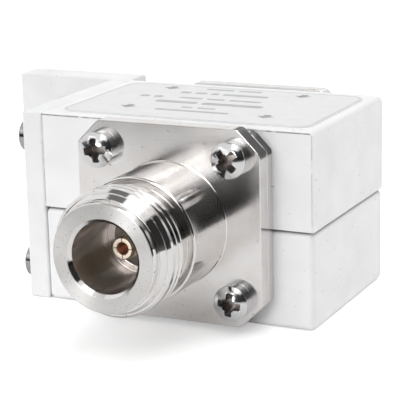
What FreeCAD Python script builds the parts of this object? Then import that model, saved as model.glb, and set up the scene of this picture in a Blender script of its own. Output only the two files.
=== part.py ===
import FreeCAD, Part
import os

os.makedirs("parts", exist_ok=True)

# A coaxial surge arrestor with an N-type port on its front and another on its back.
# Millimetres. +X is to the right seen from the equipment port, +Y runs back towards the
# antenna port, +Z is up. The origin is the centre of the housing's bottom face.

# Housing, two halves
HOUSING_WIDTH = 38.5
HOUSING_DEPTH = 25.3
HOUSING_HEIGHT = 25.6
SPLIT_HEIGHT = 12.85
SPLIT_GAP = 0.15
SPLIT_LAND_INSET = 1.3
UPPER_EDGE_BREAK = 0.12
UPPER_LONG_EDGE_RADIUS = 0.9
LOWER_EDGE_RADIUS = 0.8

# Cavity inside the housing
PORT_WALL = 5.0
BRACKET_WALL = 6.5
PLAIN_WALL = 3.0
CAVITY_CORNER_RADIUS = 1.0

# Mounting bracket
SIDE_LEG_THICKNESS = 2.95
REAR_LEG_THICKNESS = 5.0
REAR_LEG_REACH = 15.7
BRACKET_EDGE_RADIUS = 0.4
BRACKET_HOLE_RADIUS = 2.6
BRACKET_HOLE_SPACING = 14.0

# Label on the top
LABEL_WIDTH = 35.6
LABEL_DEPTH = 21.5
LABEL_THICKNESS = 0.12
LABEL_CORNER_RADIUS = 2.3

# Where the port axes stand
EQUIPMENT_PORT_X = 1.1
EQUIPMENT_PORT_Z = 13.45
ANTENNA_PORT_X = 0.0
ANTENNA_PORT_Z = 12.8

# Port flange and the plate behind it
FLANGE_HOLE_SPACING = 18.26
FLANGE_HOLE_RADIUS = 1.6
FLANGE_HOLE_MARGIN = 3.57
FLANGE_CHAMFER = 3.0
FLANGE_THICKNESS = 2.2
PLATE_THICKNESS = 1.6
PLATE_TOP_TRIM = 0.8

# Turned profile of the port, lengths from the flange's outer face
BARREL_RADIUS = 8.025
BARREL_LENGTH = 8.95
RELIEF_RADIUS = 7.05
RELIEF_END = 11.4
THREAD_RADIUS = 7.9375
THREAD_END = 14.2
LEAD_TIP_RADIUS = 7.03
LEAD_END = 16.05
NOSE_RADIUS = 6.8
PORT_LENGTH = 17.25
RING_EDGE_CHAMFER = 0.17

# Bore of the port, depths from its ring face
BORE_RADIUS = 4.4
BORE_MOUTH_CHAMFER = 0.5
BORE_DEPTH = 9.45
INNER_BORE_RADIUS = 3.5
INNER_BORE_DEPTH = 15.25

# Centre contact and its insulator
CONTACT_RADIUS = 1.52
CONTACT_TIP_RADIUS = 1.25
CONTACT_TIP_LENGTH = 0.5
CONTACT_RECESS = 4.85
CONTACT_HOLE_RADIUS = 0.72
CONTACT_HOLE_DEPTH = 5.6
CONTACT_SLOT_WIDTH = 0.25
CONTACT_SLOT_DEPTH = 4.4
CONTACT_STEM_RADIUS = 1.1
INSULATOR_RADIUS = 4.25
INSULATOR_LIP = 1.0
INSULATOR_LIP_HOLE_RADIUS = 3.0

# Screws
SCREW_HEAD_RADIUS = 2.3
SCREW_HEAD_SIDE = 1.7
SCREW_HEAD_HEIGHT = 2.5
SCREW_TOP_RADIUS = 1.6
SCREW_SHANK_RADIUS = 1.42
PORT_SCREW_LENGTH = 7.9
BRACKET_SCREW_LENGTH = 8.2
BRACKET_SCREW_FROM_EDGE = 4.0
BRACKET_SCREW_SPACING = 17.6
RECESS_REACH = 1.44
RECESS_FLOOR_REACH = 0.55
RECESS_WIDTH = 0.8
RECESS_DEPTH = 1.5

# Angles of the cross recesses: at the ports upper left, upper right, lower right, lower left
EQUIPMENT_SCREW_TURNS = (8, 43, -7, 22)
ANTENNA_SCREW_TURNS = (15, 62, 33, 80)
BRACKET_SCREW_TURNS = (20, 65, 5, 40)

# Capacitor in the centre line
CAPACITOR_RADIUS = 7.0
CAPACITOR_PLATE_THICKNESS = 1.0
CAPACITOR_FILM_THICKNESS = 0.5
CAPACITOR_FILM_OVERHANG = 0.5

# Gas tube between the antenna contact and the wall
TUBE_RADIUS = 2.75
TUBE_BORE_RADIUS = 2.0
TUBE_LENGTH = 8.0
TUBE_END_THICKNESS = 0.9
TUBE_BOSS_RADIUS = 1.4
TUBE_SPARK_GAP = 1.0
LUG_HALF_HEIGHT = 2.0
LUG_THICKNESS = 2.5
LUG_REACH = 2.6
SPRING_STRIP = 0.4
SPRING_LEAF_HALF_HEIGHT = 2.5

# Bleed choke between the equipment contact and the wall
CHOKE_FLANGE_RADIUS = 2.6
CHOKE_FLANGE_THICKNESS = 0.9
CHOKE_WAIST_RADIUS = 1.3
CHOKE_LENGTH = 6.0
CHOKE_FROM_CONTACT = 3.2
CHOKE_WINDING_RADIUS = 2.2
CHOKE_LEAD_RADIUS = 0.35

# Clearances, and how far a cutting shape runs past the face it cuts
CUT_PAST = 1.0
SHANK_CLEARANCE = 0.05
HOLE_END_CLEARANCE = 0.4
INSULATOR_CLEARANCE = 0.05
SPRING_SIDE_CLEARANCE = 0.2
CONTACT_CLEARANCE = 0.02

# Derived places
STACK = FLANGE_THICKNESS + PLATE_THICKNESS
FLANGE_SIDE = FLANGE_HOLE_SPACING + 2 * FLANGE_HOLE_MARGIN
HALF_WIDTH = HOUSING_WIDTH / 2
HALF_DEPTH = HOUSING_DEPTH / 2
CAVITY_LEFT = BRACKET_WALL - HALF_WIDTH
CAVITY_RIGHT = HALF_WIDTH - PLAIN_WALL
CAVITY_HALF_DEPTH = HALF_DEPTH - PORT_WALL
CAVITY_FLOOR = PLAIN_WALL
CAVITY_CEILING = HOUSING_HEIGHT - PLAIN_WALL
BRACKET_LEFT = -HALF_WIDTH - SIDE_LEG_THICKNESS
BRACKET_SCREW_Y = HALF_DEPTH - BRACKET_SCREW_FROM_EDGE
INSULATOR_FRONT = PORT_LENGTH - INNER_BORE_DEPTH
INSULATOR_BACK = -STACK - PORT_WALL + INSULATOR_LIP
CONTACT_TIP = PORT_LENGTH - CONTACT_RECESS
CAPACITOR_HALF = CAPACITOR_FILM_THICKNESS / 2 + CAPACITOR_PLATE_THICKNESS
CONTACT_END = CAPACITOR_HALF - HALF_DEPTH - STACK
COMPONENT_Y = (CAVITY_HALF_DEPTH + CAPACITOR_HALF) / 2
SPRING_HALF_WIDTH = CAVITY_HALF_DEPTH - CAVITY_CORNER_RADIUS - SPRING_SIDE_CLEARANCE - COMPONENT_Y

X_AXIS = FreeCAD.Vector(1, 0, 0)
Y_AXIS = FreeCAD.Vector(0, 1, 0)
Z_AXIS = FreeCAD.Vector(0, 0, 1)
ORIGIN = FreeCAD.Vector(0, 0, 0)
FOUR_CORNERS = [(-1, 1), (1, 1), (1, -1), (-1, -1)]


# Shapes used by several parts

def box(x0, x1, y0, y1, z0, z1):
    """A box between two opposite corners."""
    return Part.makeBox(x1 - x0, y1 - y0, z1 - z0, FreeCAD.Vector(x0, y0, z0))


def rod(radius, start, end, axis=Z_AXIS, centre=ORIGIN):
    """A cylinder between two heights on an axis through a centre."""
    return Part.makeCylinder(radius, end - start, centre + axis * start, axis)


def turned(profile):
    """A turned solid about Z from the (radius, height) corners of its half section."""
    corners = [FreeCAD.Vector(radius, 0, height) for radius, height in profile]
    section = Part.Face(Part.makePolygon(corners + corners[:1]))
    return section.revolve(ORIGIN, Z_AXIS, 360)


def prism(outline, z0, z1):
    """A prism over a closed outline of (x, y) corners."""
    corners = [FreeCAD.Vector(x, y, z0) for x, y in outline]
    return Part.Face(Part.makePolygon(corners + corners[:1])).extrude(Z_AXIS * (z1 - z0))


def edges_along(shape, axis):
    """The straight edges of a shape that run along an axis."""
    found = []
    for edge in shape.Edges:
        along = edge.Vertexes[-1].Point - edge.Vertexes[0].Point
        if along.Length > 0 and abs(along.dot(axis)) > 0.999 * along.Length:
            found.append(edge)
    return found


def moved(shape, x, y, z):
    """A copy of a shape shifted by x, y and z."""
    copy = shape.copy()
    copy.translate(FreeCAD.Vector(x, y, z))
    return copy


def group(shapes):
    """Separate solids kept side by side in one node."""
    return Part.makeCompound(shapes)


def at_equipment_port(shape):
    """From the port's own frame, +Z outwards and +Y up, to the front of the housing."""
    placed = shape.copy()
    placed.rotate(ORIGIN, X_AXIS, 90)
    placed.translate(FreeCAD.Vector(EQUIPMENT_PORT_X, -HALF_DEPTH - STACK, EQUIPMENT_PORT_Z))
    return placed


def at_antenna_port(shape):
    """From the port's own frame, +Z outwards and +Y up, to the back of the housing."""
    placed = shape.copy()
    placed.rotate(ORIGIN, X_AXIS, 90)
    placed.rotate(ORIGIN, Z_AXIS, 180)
    placed.translate(FreeCAD.Vector(ANTENNA_PORT_X, HALF_DEPTH + STACK, ANTENNA_PORT_Z))
    return placed


# Pan-head screw with a cross recess, head up, shank down from its seat

def cross_recess(turn):
    """Two crossed tapered slots, sunk from the top of the head."""
    floor = SCREW_HEAD_HEIGHT - RECESS_DEPTH
    flare = (RECESS_REACH - RECESS_FLOOR_REACH) / RECESS_DEPTH
    top = SCREW_HEAD_HEIGHT + RECESS_WIDTH
    reach = RECESS_FLOOR_REACH + flare * (top - floor)
    outline = [
        (-RECESS_FLOOR_REACH, floor),
        (RECESS_FLOOR_REACH, floor),
        (reach, top),
        (-reach, top),
    ]
    blade = prism(outline, -RECESS_WIDTH / 2, RECESS_WIDTH / 2)
    blade.rotate(ORIGIN, X_AXIS, 90)
    crossing = blade.copy()
    crossing.rotate(ORIGIN, Z_AXIS, 90)
    cross = blade.fuse(crossing)
    cross.rotate(ORIGIN, Z_AXIS, turn)
    return cross


def screw(length, turn):
    """A pan-head screw; turn is the angle of its cross recess in degrees."""
    body = turned([
        (0, -length),
        (SCREW_SHANK_RADIUS, -length),
        (SCREW_SHANK_RADIUS, 0),
        (SCREW_HEAD_RADIUS, 0),
        (SCREW_HEAD_RADIUS, SCREW_HEAD_SIDE),
        (SCREW_TOP_RADIUS, SCREW_HEAD_HEIGHT),
        (0, SCREW_HEAD_HEIGHT),
    ])
    return body.cut(cross_recess(turn))


# Port parts, in the port's own frame

def flange_outline(top_trim):
    """Eight corners of the square flange with its corners cut off."""
    half = FLANGE_SIDE / 2
    inner = half - FLANGE_CHAMFER
    top = half - top_trim
    top_corner = half - (FLANGE_CHAMFER - top_trim)
    return [
        (-inner, -half),
        (inner, -half),
        (half, -inner),
        (half, inner),
        (top_corner, top),
        (-top_corner, top),
        (-half, inner),
        (-half, -inner),
    ]


def flange_holes(z0, z1):
    """The four screw holes of a flange or plate."""
    half = FLANGE_HOLE_SPACING / 2
    places = [FreeCAD.Vector(sx * half, sy * half, 0) for sx, sy in FOUR_CORNERS]
    return [rod(FLANGE_HOLE_RADIUS, z0, z1, Z_AXIS, place) for place in places]


def port_body():
    """Flange, barrel, relief, thread land, tapered lead and nose in one piece with a stepped bore."""
    profile = [
        (0, -FLANGE_THICKNESS / 2),
        (BARREL_RADIUS, -FLANGE_THICKNESS / 2),
        (BARREL_RADIUS, BARREL_LENGTH),
        (RELIEF_RADIUS, BARREL_LENGTH),
        (RELIEF_RADIUS, RELIEF_END),
        (THREAD_RADIUS, RELIEF_END),
        (THREAD_RADIUS, THREAD_END),
        (LEAD_TIP_RADIUS, LEAD_END),
        (NOSE_RADIUS, LEAD_END),
        (NOSE_RADIUS, PORT_LENGTH - RING_EDGE_CHAMFER),
        (NOSE_RADIUS - RING_EDGE_CHAMFER, PORT_LENGTH),
        (0, PORT_LENGTH),
    ]
    flange = prism(flange_outline(0), -FLANGE_THICKNESS, 0)
    bore_floor = PORT_LENGTH - BORE_DEPTH
    insulator_seat = INSULATOR_RADIUS + INSULATOR_CLEARANCE
    bore = turned([
        (0, -FLANGE_THICKNESS - CUT_PAST),
        (insulator_seat, -FLANGE_THICKNESS - CUT_PAST),
        (insulator_seat, INSULATOR_FRONT),
        (INNER_BORE_RADIUS, INSULATOR_FRONT),
        (INNER_BORE_RADIUS, bore_floor),
        (BORE_RADIUS, bore_floor),
        (BORE_RADIUS, PORT_LENGTH - BORE_MOUTH_CHAMFER),
        (BORE_RADIUS + 2 * BORE_MOUTH_CHAMFER, PORT_LENGTH + BORE_MOUTH_CHAMFER),
        (0, PORT_LENGTH + BORE_MOUTH_CHAMFER),
    ])
    body = flange.fuse(turned(profile)).cut(bore)
    for hole in flange_holes(-FLANGE_THICKNESS - CUT_PAST, CUT_PAST):
        body = body.cut(hole)
    return body.removeSplitter()


def port_plate():
    """The plate between the flange and the housing, its top edge trimmed."""
    plate = prism(flange_outline(PLATE_TOP_TRIM), -STACK, -FLANGE_THICKNESS)
    centre_hole = rod(INSULATOR_RADIUS + INSULATOR_CLEARANCE, -STACK - CUT_PAST, 0)
    plate = plate.cut(centre_hole)
    for hole in flange_holes(-STACK - CUT_PAST, 0):
        plate = plate.cut(hole)
    return plate


def port_screws(turns):
    """Four screws at the flange's corners; turns are the angles of their recesses."""
    half = FLANGE_HOLE_SPACING / 2
    screws = []
    for (sx, sy), turn in zip(FOUR_CORNERS, turns):
        screws.append(moved(screw(PORT_SCREW_LENGTH, turn), sx * half, sy * half, 0))
    return group(screws)


def port_insulator():
    """The bead that centres the contact in the port."""
    bead = rod(INSULATOR_RADIUS, INSULATOR_BACK, INSULATOR_FRONT)
    stem_hole = rod(CONTACT_STEM_RADIUS + CONTACT_CLEARANCE,
                    INSULATOR_BACK - CUT_PAST, INSULATOR_FRONT + CUT_PAST)
    return bead.cut(stem_hole)


def port_contact():
    """Socket contact: slotted fingers in front, a thinner stem through the bead."""
    body = turned([
        (0, CONTACT_END),
        (CONTACT_STEM_RADIUS, CONTACT_END),
        (CONTACT_STEM_RADIUS, INSULATOR_FRONT),
        (CONTACT_RADIUS, INSULATOR_FRONT),
        (CONTACT_RADIUS, CONTACT_TIP - CONTACT_TIP_LENGTH),
        (CONTACT_TIP_RADIUS, CONTACT_TIP),
        (0, CONTACT_TIP),
    ])
    body = body.cut(rod(CONTACT_HOLE_RADIUS, CONTACT_TIP - CONTACT_HOLE_DEPTH, CONTACT_TIP + CUT_PAST))
    slot_start = CONTACT_TIP - CONTACT_SLOT_DEPTH
    half = CONTACT_SLOT_WIDTH / 2
    reach = CONTACT_RADIUS + CUT_PAST
    slot = box(-reach, reach, -half, half, slot_start, CONTACT_TIP + CUT_PAST)
    body = body.cut(slot)
    slot.rotate(ORIGIN, Z_AXIS, 90)
    return body.cut(slot)


# Housing

def cavity():
    """The pocket for the inner parts, with milled corners."""
    pocket = box(CAVITY_LEFT, CAVITY_RIGHT, -CAVITY_HALF_DEPTH, CAVITY_HALF_DEPTH,
                 CAVITY_FLOOR, CAVITY_CEILING)
    return pocket.makeFillet(CAVITY_CORNER_RADIUS, edges_along(pocket, Z_AXIS))


def port_wall_holes():
    """Holes in one port wall, in the port's frame: insulator seat, lip and four tapped holes."""
    half = FLANGE_HOLE_SPACING / 2
    seat = rod(INSULATOR_RADIUS + INSULATOR_CLEARANCE, INSULATOR_BACK, 0)
    lip_hole = rod(INSULATOR_LIP_HOLE_RADIUS, -STACK - PORT_WALL - CUT_PAST, 0)
    holes = [seat, lip_hole]
    for sx, sy in FOUR_CORNERS:
        place = FreeCAD.Vector(sx * half, sy * half, 0)
        end = -PORT_SCREW_LENGTH - HOLE_END_CLEARANCE
        holes.append(rod(SCREW_SHANK_RADIUS + SHANK_CLEARANCE, end, 0, Z_AXIS, place))
    return holes


def bracket_screw_places():
    """Seats of the four bracket screws on the outer face of the side leg."""
    places = []
    for y in (-BRACKET_SCREW_Y, BRACKET_SCREW_Y):
        for side in (-1, 1):
            z = HOUSING_HEIGHT / 2 + side * BRACKET_SCREW_SPACING / 2
            places.append(FreeCAD.Vector(BRACKET_LEFT, y, z))
    return places


def housing_cuts():
    """Everything that is cut out of the two halves."""
    cuts = [cavity()]
    for hole in port_wall_holes():
        cuts.append(at_equipment_port(hole))
        cuts.append(at_antenna_port(hole))
    length = BRACKET_SCREW_LENGTH + HOLE_END_CLEARANCE
    for place in bracket_screw_places():
        cuts.append(rod(SCREW_SHANK_RADIUS + SHANK_CLEARANCE, 0, length, X_AXIS, place))
    return cuts


def lower_housing():
    """The lower half, rounded all round, with a raised land that meets the upper half."""
    rim = SPLIT_HEIGHT - SPLIT_GAP
    half = box(-HALF_WIDTH, HALF_WIDTH, -HALF_DEPTH, HALF_DEPTH, 0, rim)
    half = half.makeFillet(LOWER_EDGE_RADIUS, half.Edges)
    inset = SPLIT_LAND_INSET
    land = box(inset - HALF_WIDTH, HALF_WIDTH - inset, inset - HALF_DEPTH, HALF_DEPTH - inset,
               rim / 2, SPLIT_HEIGHT)
    half = half.fuse(land)
    for cut in housing_cuts():
        half = half.cut(cut)
    return half.removeSplitter()


def upper_housing():
    """The upper half, sharp but for small edge breaks and one rounded long edge."""
    half = box(-HALF_WIDTH, HALF_WIDTH, -HALF_DEPTH, HALF_DEPTH, SPLIT_HEIGHT, HOUSING_HEIGHT)
    long_edge = [edge for edge in edges_along(half, Y_AXIS)
                 if edge.CenterOfMass.x > 0 and edge.CenterOfMass.z > SPLIT_HEIGHT + CUT_PAST]
    half = half.makeFillet(UPPER_LONG_EDGE_RADIUS, long_edge)
    upright = edges_along(half, Z_AXIS)
    half = half.makeChamfer(UPPER_EDGE_BREAK, upright)
    for cut in housing_cuts():
        half = half.cut(cut)
    return half.removeSplitter()


# Bracket, its screws and the label

def mounting_bracket():
    """An angle: one leg against the housing's left side, the other turned out at the back."""
    front = -HALF_DEPTH
    back = HALF_DEPTH + REAR_LEG_THICKNESS
    outline = [
        (BRACKET_LEFT, front),
        (-HALF_WIDTH, front),
        (-HALF_WIDTH, back),
        (BRACKET_LEFT - REAR_LEG_REACH, back),
        (BRACKET_LEFT - REAR_LEG_REACH, HALF_DEPTH),
        (BRACKET_LEFT, HALF_DEPTH),
    ]
    angle = prism(outline, 0, HOUSING_HEIGHT)
    rounded = []
    for edge in edges_along(angle, Z_AXIS):
        x, y = edge.CenterOfMass.x, edge.CenterOfMass.y
        if x < BRACKET_LEFT - CUT_PAST or (y > HALF_DEPTH + CUT_PAST and x > BRACKET_LEFT):
            rounded.append(edge)
    low = [edge for edge in edges_along(angle, Y_AXIS)
           if edge.CenterOfMass.z < CUT_PAST and edge.CenterOfMass.x < BRACKET_LEFT + CUT_PAST]
    angle = angle.makeFillet(BRACKET_EDGE_RADIUS, rounded + low)
    for place in bracket_screw_places():
        angle = angle.cut(rod(FLANGE_HOLE_RADIUS, -CUT_PAST, SIDE_LEG_THICKNESS + CUT_PAST, X_AXIS, place))
    middle = BRACKET_LEFT - REAR_LEG_REACH / 2
    for side in (-1, 1):
        z = HOUSING_HEIGHT / 2 + side * BRACKET_HOLE_SPACING / 2
        centre = FreeCAD.Vector(middle, 0, z)
        angle = angle.cut(rod(BRACKET_HOLE_RADIUS, HALF_DEPTH - CUT_PAST, back + CUT_PAST, Y_AXIS, centre))
    return angle


def bracket_screws():
    """Four screws through the side leg into the housing's thick left wall."""
    screws = []
    for place, turn in zip(bracket_screw_places(), BRACKET_SCREW_TURNS):
        fastener = screw(BRACKET_SCREW_LENGTH, turn)
        fastener.rotate(ORIGIN, Y_AXIS, -90)
        fastener.translate(place)
        screws.append(fastener)
    return group(screws)


def top_label():
    """A thin film with rounded corners on the top face."""
    film = box(-LABEL_WIDTH / 2, LABEL_WIDTH / 2, -LABEL_DEPTH / 2, LABEL_DEPTH / 2,
               HOUSING_HEIGHT, HOUSING_HEIGHT + LABEL_THICKNESS)
    return film.makeFillet(LABEL_CORNER_RADIUS, edges_along(film, Z_AXIS))


# Capacitor

def capacitor_centre():
    """Half way between the two port axes."""
    x = (EQUIPMENT_PORT_X + ANTENNA_PORT_X) / 2
    z = (EQUIPMENT_PORT_Z + ANTENNA_PORT_Z) / 2
    return FreeCAD.Vector(x, 0, z)


def capacitor_disc(radius, y0, y1):
    """One round layer of the capacitor between two depths."""
    return rod(radius, y0, y1, Y_AXIS, capacitor_centre())


# Gas tube and its connections

def tube_start():
    """Where the tube's inner end meets the lug."""
    return ANTENNA_PORT_X + LUG_REACH


def discharge_lug():
    """A block on the antenna contact's stem that the gas tube stands against."""
    lug = box(ANTENNA_PORT_X - LUG_HALF_HEIGHT, tube_start(),
              COMPONENT_Y - LUG_THICKNESS / 2, COMPONENT_Y + LUG_THICKNESS / 2,
              ANTENNA_PORT_Z - LUG_HALF_HEIGHT, ANTENNA_PORT_Z + LUG_HALF_HEIGHT)
    axis_point = FreeCAD.Vector(ANTENNA_PORT_X, 0, ANTENNA_PORT_Z)
    stem = rod(CONTACT_STEM_RADIUS + CONTACT_CLEARANCE, 0, HALF_DEPTH, Y_AXIS, axis_point)
    return lug.cut(stem)


def tube_part(shape, offset):
    """From the tube's own frame, +Z along it, to its place in the cavity."""
    placed = shape.copy()
    placed.rotate(ORIGIN, Y_AXIS, 90)
    placed.translate(FreeCAD.Vector(tube_start() + offset, COMPONENT_Y, ANTENNA_PORT_Z))
    return placed


def gas_tube_ceramic():
    """The insulating ring of the tube."""
    ring = rod(TUBE_RADIUS, TUBE_END_THICKNESS, TUBE_LENGTH - TUBE_END_THICKNESS)
    return tube_part(ring.cut(rod(TUBE_BORE_RADIUS, 0, TUBE_LENGTH)), 0)


def electrode():
    """An end disc with a boss that reaches towards the spark gap."""
    boss_end = (TUBE_LENGTH - TUBE_SPARK_GAP) / 2
    return rod(TUBE_RADIUS, 0, TUBE_END_THICKNESS).fuse(rod(TUBE_BOSS_RADIUS, 0, boss_end))


def gas_tube_inner_electrode():
    """The electrode on the lug."""
    return tube_part(electrode(), 0)


def gas_tube_outer_electrode():
    """The electrode on the spring."""
    end = electrode()
    end.rotate(ORIGIN, X_AXIS, 180)
    return tube_part(end, TUBE_LENGTH)


def gas_tube_spring():
    """A strip bent to a U between the tube's outer end and the side wall."""
    left = tube_start() + TUBE_LENGTH
    right = CAVITY_RIGHT
    outer_radius = (right - left) / 2
    middle = (left + right) / 2
    low = ANTENNA_PORT_Z - SPRING_LEAF_HALF_HEIGHT
    high = ANTENNA_PORT_Z + SPRING_LEAF_HALF_HEIGHT
    y0 = COMPONENT_Y - SPRING_HALF_WIDTH
    y1 = COMPONENT_Y + SPRING_HALF_WIDTH
    bend_centre = FreeCAD.Vector(middle, 0, high)
    outer = box(left, right, y0, y1, low, high).fuse(rod(outer_radius, y0, y1, Y_AXIS, bend_centre))
    inner_radius = outer_radius - SPRING_STRIP
    inner = box(left + SPRING_STRIP, right - SPRING_STRIP, y0 - CUT_PAST, y1 + CUT_PAST,
                low - CUT_PAST, high)
    inner = inner.fuse(rod(inner_radius, y0 - CUT_PAST, y1 + CUT_PAST, Y_AXIS, bend_centre))
    return outer.cut(inner).removeSplitter()


# Bleed choke

def choke_part(shape):
    """From the choke's own frame, +Z along it away from the contact, to its place."""
    placed = shape.copy()
    placed.rotate(ORIGIN, Y_AXIS, -90)
    start = EQUIPMENT_PORT_X - CONTACT_STEM_RADIUS - CHOKE_FROM_CONTACT
    placed.translate(FreeCAD.Vector(start, -COMPONENT_Y, EQUIPMENT_PORT_Z))
    return placed


def choke_core():
    """A drum: two flanges and a waist."""
    waist_end = CHOKE_LENGTH - CHOKE_FLANGE_THICKNESS
    return choke_part(turned([
        (0, 0),
        (CHOKE_FLANGE_RADIUS, 0),
        (CHOKE_FLANGE_RADIUS, CHOKE_FLANGE_THICKNESS),
        (CHOKE_WAIST_RADIUS, CHOKE_FLANGE_THICKNESS),
        (CHOKE_WAIST_RADIUS, waist_end),
        (CHOKE_FLANGE_RADIUS, waist_end),
        (CHOKE_FLANGE_RADIUS, CHOKE_LENGTH),
        (0, CHOKE_LENGTH),
    ]))


def choke_winding():
    """The turns of the choke as one sleeve that fills the waist."""
    start = CHOKE_FLANGE_THICKNESS
    end = CHOKE_LENGTH - CHOKE_FLANGE_THICKNESS
    return choke_part(turned([
        (CHOKE_WAIST_RADIUS, start),
        (CHOKE_WINDING_RADIUS, start),
        (CHOKE_WINDING_RADIUS, end),
        (CHOKE_WAIST_RADIUS, end),
    ]))


def choke_contact_lead():
    """The lead from the equipment contact to the drum."""
    start = EQUIPMENT_PORT_X - CONTACT_STEM_RADIUS - CHOKE_FROM_CONTACT
    length = CHOKE_FROM_CONTACT + CHOKE_LEAD_RADIUS
    lead = rod(CHOKE_LEAD_RADIUS, 0, length, X_AXIS,
               FreeCAD.Vector(start, -COMPONENT_Y, EQUIPMENT_PORT_Z))
    axis_point = FreeCAD.Vector(EQUIPMENT_PORT_X, 0, EQUIPMENT_PORT_Z)
    stem = rod(CONTACT_STEM_RADIUS + CONTACT_CLEARANCE, -HALF_DEPTH, 0, Y_AXIS, axis_point)
    return lead.cut(stem)


def choke_wall_lead():
    """The lead from the drum to the left wall."""
    end = EQUIPMENT_PORT_X - CONTACT_STEM_RADIUS - CHOKE_FROM_CONTACT - CHOKE_LENGTH
    return rod(CHOKE_LEAD_RADIUS, 0, end - CAVITY_LEFT, X_AXIS,
               FreeCAD.Vector(CAVITY_LEFT, -COMPONENT_Y, EQUIPMENT_PORT_Z))


# Every piece by its name

PARTS = {
    "upper_housing": upper_housing(),
    "lower_housing": lower_housing(),
    "mounting_bracket": mounting_bracket(),
    "bracket_screws": bracket_screws(),
    "top_label": top_label(),
    "equipment_port_body": at_equipment_port(port_body()),
    "equipment_port_plate": at_equipment_port(port_plate()),
    "equipment_port_screws": at_equipment_port(port_screws(EQUIPMENT_SCREW_TURNS)),
    "equipment_port_insulator": at_equipment_port(port_insulator()),
    "equipment_port_contact": at_equipment_port(port_contact()),
    "antenna_port_body": at_antenna_port(port_body()),
    "antenna_port_plate": at_antenna_port(port_plate()),
    "antenna_port_screws": at_antenna_port(port_screws(ANTENNA_SCREW_TURNS)),
    "antenna_port_insulator": at_antenna_port(port_insulator()),
    "antenna_port_contact": at_antenna_port(port_contact()),
    "capacitor_equipment_plate": capacitor_disc(CAPACITOR_RADIUS, -CAPACITOR_HALF,
                                                -CAPACITOR_FILM_THICKNESS / 2),
    "capacitor_antenna_plate": capacitor_disc(CAPACITOR_RADIUS, CAPACITOR_FILM_THICKNESS / 2,
                                              CAPACITOR_HALF),
    "capacitor_dielectric": capacitor_disc(CAPACITOR_RADIUS + CAPACITOR_FILM_OVERHANG,
                                           -CAPACITOR_FILM_THICKNESS / 2,
                                           CAPACITOR_FILM_THICKNESS / 2),
    "discharge_lug": discharge_lug(),
    "gas_tube_ceramic": gas_tube_ceramic(),
    "gas_tube_inner_electrode": gas_tube_inner_electrode(),
    "gas_tube_outer_electrode": gas_tube_outer_electrode(),
    "gas_tube_spring": gas_tube_spring(),
    "choke_core": choke_core(),
    "choke_winding": choke_winding(),
    "choke_contact_lead": choke_contact_lead(),
    "choke_wall_lead": choke_wall_lead(),
}

for name, shape in PARTS.items():
    shape.exportStep("parts/" + name + ".step")
    print(name, "solids", len(shape.Solids), "valid", shape.isValid(), "volume", round(shape.Volume, 2))
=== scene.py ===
# %% [markdown]
# # A coax lightning arrestor
# The object is a white metal block, as long as a thumb, with an N-type coaxial port on its front,
# another on its back, and an angle bracket down its left side. The solids come packed from the
# CAD side in metres. This script dresses them: each piece that catches the light gets a finer
# mesh in the same place, and every piece gets a procedural finish.
#
# Two ways were open: to bevel copies of the CAD meshes, or to work each surface out again as
# whole arrays. The ports are turned parts, so a profile carried round an axis gives them a real
# thread and clean reflections. The rest follows the same idea with other outlines.

# %% Load the fixed frame
import math
import bpy
import numpy as np
from mathutils import Matrix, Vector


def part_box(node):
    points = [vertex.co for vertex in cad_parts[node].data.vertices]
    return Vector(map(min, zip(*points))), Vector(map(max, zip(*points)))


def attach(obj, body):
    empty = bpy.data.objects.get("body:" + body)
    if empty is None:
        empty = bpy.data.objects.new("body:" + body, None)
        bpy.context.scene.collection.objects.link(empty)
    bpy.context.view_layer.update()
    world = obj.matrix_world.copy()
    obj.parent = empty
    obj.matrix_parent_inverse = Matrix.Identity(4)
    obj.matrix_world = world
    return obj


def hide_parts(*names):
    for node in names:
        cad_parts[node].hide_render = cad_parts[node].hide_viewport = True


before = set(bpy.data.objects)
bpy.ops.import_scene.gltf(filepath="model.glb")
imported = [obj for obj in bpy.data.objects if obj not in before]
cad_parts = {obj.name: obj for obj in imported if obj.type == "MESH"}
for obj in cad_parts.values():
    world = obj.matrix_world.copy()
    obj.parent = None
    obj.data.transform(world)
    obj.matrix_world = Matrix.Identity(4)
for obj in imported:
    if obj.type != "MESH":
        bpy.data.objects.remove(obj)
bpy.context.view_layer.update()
MM = 0.001

# %% [markdown]
# ## Camera
# A photograph fixes a camera completely once enough edges of known size are matched. Seven
# numbers were fitted to the edges of the housing, the flange and the port: a long lens, about
# three times a normal one, from 26 degrees to the right of the port axis and 14 degrees up.

# %% Camera at the photograph's angle
RIGHT = (0.90162, 0.43188, -0.02370)
DOWN = (0.08653, -0.23381, -0.96842)
FORWARD = (-0.42378, 0.87109, -0.24818)
CAMERA_PLACE = (92.78, -195.67, 67.94)
SENSOR_WIDTH, LENS = 36, 148.7

camera_data = bpy.data.cameras.new("camera")
camera_data.sensor_width, camera_data.lens = SENSOR_WIDTH, LENS
camera_data.clip_start = 10 * MM
camera = bpy.data.objects.new("camera", camera_data)
turn = Matrix((RIGHT, [-value for value in DOWN], [-value for value in FORWARD])).transposed()
camera.matrix_world = Matrix.Translation([value * MM for value in CAMERA_PLACE]) @ turn.to_4x4()
bpy.context.scene.collection.objects.link(camera)
bpy.context.scene.camera = camera
bpy.context.scene.view_settings.view_transform = "Standard"
print("camera field of view:", round(math.degrees(camera_data.angle), 2), "degrees")

# %% [markdown]
# ## From arrays to meshes
# Every surface below is a grid: rows along a profile, columns around an outline. A grid needs
# only its corner points and the numbers of the four corners of each cell, and both are whole
# arrays. Adding them with foreach_set keeps Python out of the loop over points.

# %% Grids and caps


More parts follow.
